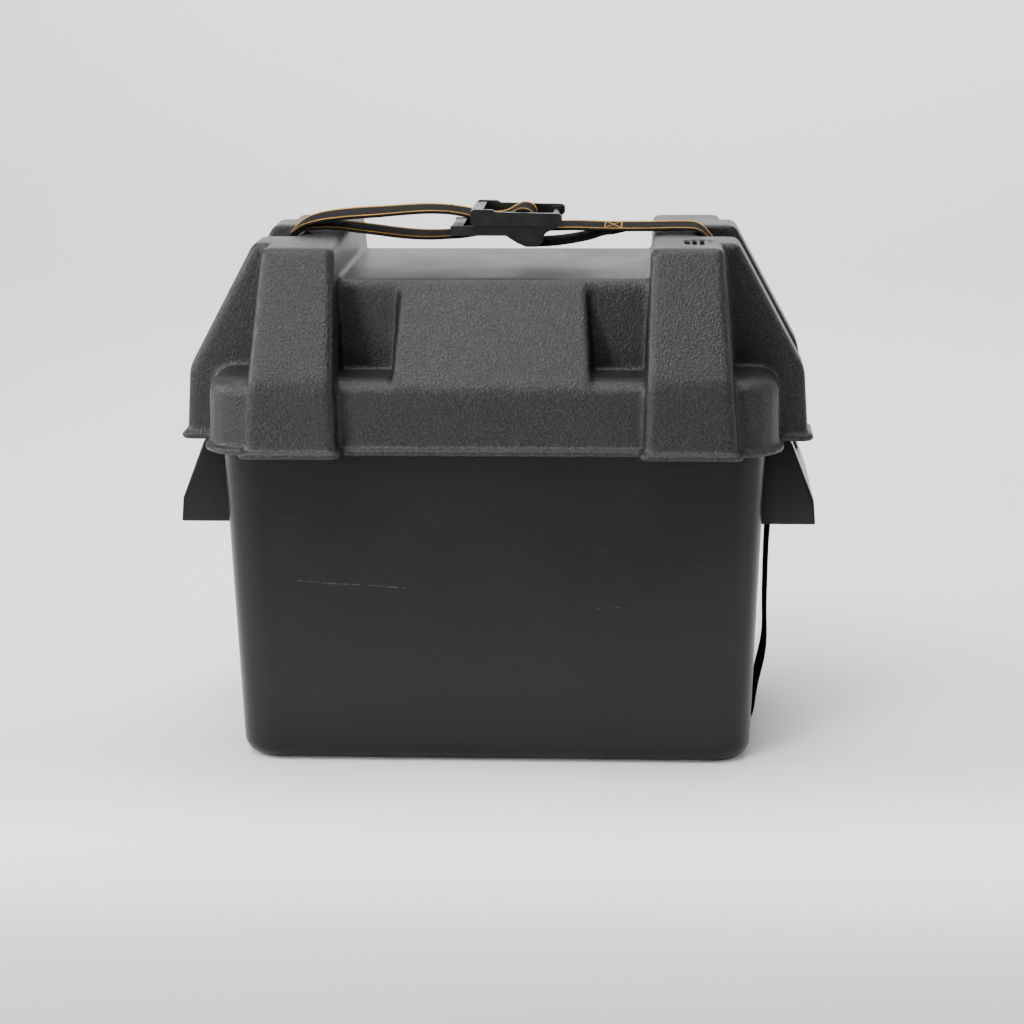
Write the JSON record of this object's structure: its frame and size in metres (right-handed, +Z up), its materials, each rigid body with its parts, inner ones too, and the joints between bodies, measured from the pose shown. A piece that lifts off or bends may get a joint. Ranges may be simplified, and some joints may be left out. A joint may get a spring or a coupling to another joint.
{
  "type": "strapped battery box with deep cycle battery",
  "caption": "Black moulded battery box with a vented lift-off lid, webbing hold-down strap and lever buckle, and a lead-acid deep cycle battery inside.",
  "frame": {"origin": "centre of the tub's underside, on the floor it stands on", "axes": "+X along the box's long side, towards the positive terminal; +Y towards the back; +Z up; the front with the terminals nearest it faces -Y"},
  "size_m": [0.344, 0.2326, 0.2908],
  "materials": {
    "tub_plastic": "satin moulded polypropylene",
    "lid_plastic": "fine pebble grain",
    "webbing": "woven, gold edge stripes",
    "buckle_plastic": "semi-gloss nylon",
    "case_plastic": "satin",
    "cap_plastic": "satin",
    "lead": "cast lead, dull",
    "positive_plate": "pasted lead dioxide, matte",
    "steel": "stainless"
  },
  "bodies": {
    "base": {"box_base": "tub_plastic", "strap_base": "webbing", "battery_case": "case_plastic", "battery_cover": "case_plastic", "negative_group_1": "lead", "negative_group_2": "lead", "negative_group_3": "lead", "negative_group_4": "lead", "negative_group_5": "lead", "negative_group_6": "lead", "positive_group_1": "positive_plate", "positive_group_2": "positive_plate", "positive_group_3": "positive_plate", "positive_group_4": "positive_plate", "positive_group_5": "positive_plate", "positive_group_6": "positive_plate", "cell_weld_1": "lead", "cell_weld_2": "lead", "cell_weld_3": "lead", "cell_weld_4": "lead", "cell_weld_5": "lead", "post_negative": "lead", "stud_negative": "steel", "lock_washer_negative": "steel", "post_positive": "lead", "stud_positive": "steel", "lock_washer_positive": "steel"},
    "lid": {"box_lid": "lid_plastic"},
    "strap_left_half": {"strap_left": "webbing", "strap_tail": "webbing"},
    "strap_right_half": {"strap_right": "webbing", "buckle_frame": "buckle_plastic", "buckle_pin": "buckle_plastic", "strap_frame_run": "webbing"},
    "lever": {"buckle_lever": "buckle_plastic", "strap_lever_loop": "webbing"},
    "wing_nut_negative": {"wing_nut_negative": "steel"},
    "wing_nut_positive": {"wing_nut_positive": "steel"},
    "vent_bar_left": {"vent_bar_left": "cap_plastic"},
    "vent_bar_right": {"vent_bar_right": "cap_plastic"}
  },
  "joints": [
    {"name": "lid_lift", "type": "slide", "parent": "base", "child": "lid", "axis": [0, 0, 1], "range_m": [0, 0.12]},
    {"name": "strap_left_open", "type": "hinge", "parent": "lid", "child": "strap_left_half", "pos_m": [-0.1556, 0, 0.17], "axis": [0, -1, 0], "range_deg": [0, 120]},
    {"name": "strap_right_open", "type": "hinge", "parent": "lid", "child": "strap_right_half", "pos_m": [0.1556, 0, 0.17], "axis": [0, 1, 0], "range_deg": [0, 120]},
    {"name": "lever_open", "type": "hinge", "parent": "strap_right_half", "child": "lever", "pos_m": [0.03, 0, 0.2846], "axis": [0, 1, 0], "range_deg": [0, 140]},
    {"name": "wing_nut_negative_spin", "type": "hinge", "parent": "base", "child": "wing_nut_negative", "pos_m": [-0.10542, -0.055, 0.22], "axis": [0, 0, 1], "continuous": true},
    {"name": "wing_nut_positive_spin", "type": "hinge", "parent": "base", "child": "wing_nut_positive", "pos_m": [0.10542, -0.055, 0.22], "axis": [0, 0, 1], "continuous": true},
    {"name": "vent_bar_left_lift", "type": "slide", "parent": "base", "child": "vent_bar_left", "axis": [0, 0, 1], "range_m": [0, 0.03]},
    {"name": "vent_bar_right_lift", "type": "slide", "parent": "base", "child": "vent_bar_right", "axis": [0, 0, 1], "range_m": [0, 0.03]}
  ]
}
